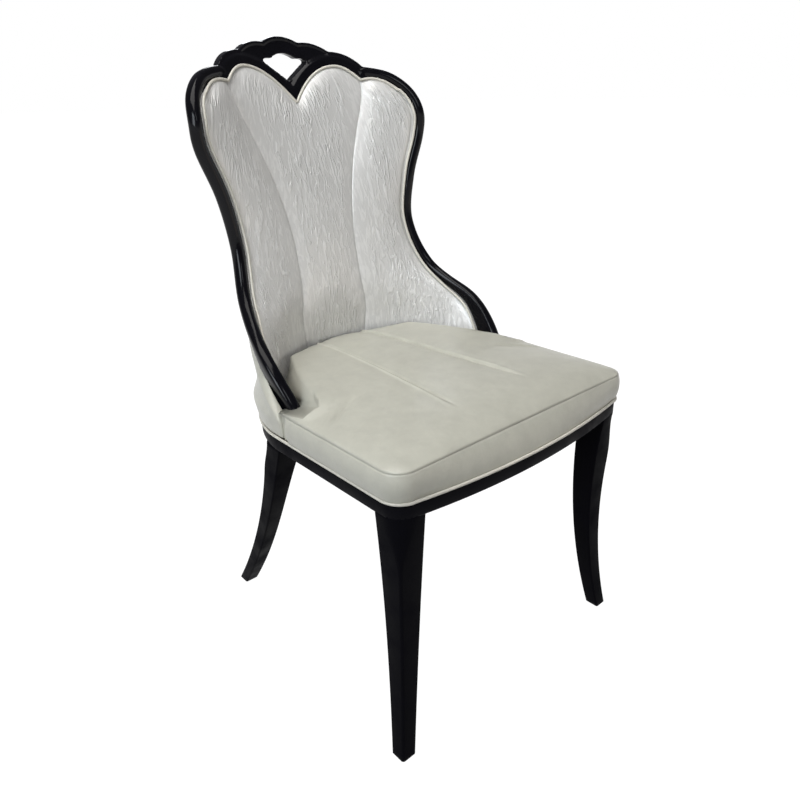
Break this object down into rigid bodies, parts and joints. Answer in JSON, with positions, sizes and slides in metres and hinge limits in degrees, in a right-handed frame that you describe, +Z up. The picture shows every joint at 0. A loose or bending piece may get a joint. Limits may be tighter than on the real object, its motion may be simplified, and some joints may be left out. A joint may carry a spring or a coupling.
{
  "type": "upholstered dining chair",
  "caption": "Dining chair with a scooped, scalloped back in padded leather, a black lacquered rim and crest with a hand hole, a piped seat and curved tapered legs.",
  "frame": {"origin": "middle of the chair's plan on the floor", "axes": "+Z up, -Y the way the sitter looks, +X to the sitter's left"},
  "size_m": [0.5224, 0.616, 0.995],
  "materials": {
    "black_lacquer": "high-gloss black lacquer on beech",
    "raw_beech": "unfinished beech",
    "plywood": "unfinished plywood",
    "screw_steel": "zinc plated",
    "glide_nylon": "moulded nylon",
    "foam": "polyurethane foam",
    "seat_leather": "smooth cream-grey leather with a faint mottle",
    "pearl_leather": "pearl champagne leather with an embossed upright grain",
    "outer_leather": "smooth cream-grey leather",
    "piping_leather": "cream leather piping",
    "dust_cloth": "black non-woven cloth"
  },
  "bodies": {
    "root": {"front_leg_left": "black_lacquer", "front_leg_right": "black_lacquer", "rear_leg_left": "black_lacquer", "rear_leg_right": "black_lacquer", "leg_glides": "glide_nylon", "front_rail": "black_lacquer", "side_rail_left": "black_lacquer", "side_rail_right": "black_lacquer", "rear_rail": "black_lacquer", "frame_dowels": "raw_beech", "corner_blocks": "raw_beech", "corner_block_screws": "screw_steel", "seat_board": "plywood", "seat_board_screws": "screw_steel", "seat_foam": "foam", "seat_cover": "seat_leather", "seat_piping": "piping_leather", "dust_cover": "dust_cloth", "back_sill": "raw_beech", "back_sill_screws": "screw_steel", "back_shell": "plywood", "back_foam": "foam", "back_cover_inner": "pearl_leather", "back_piping": "piping_leather", "back_cover_outer": "outer_leather", "rim_left": "black_lacquer", "rim_right": "black_lacquer", "crest_rail": "black_lacquer", "rim_dowels": "raw_beech"}
  },
  "joints": []
}
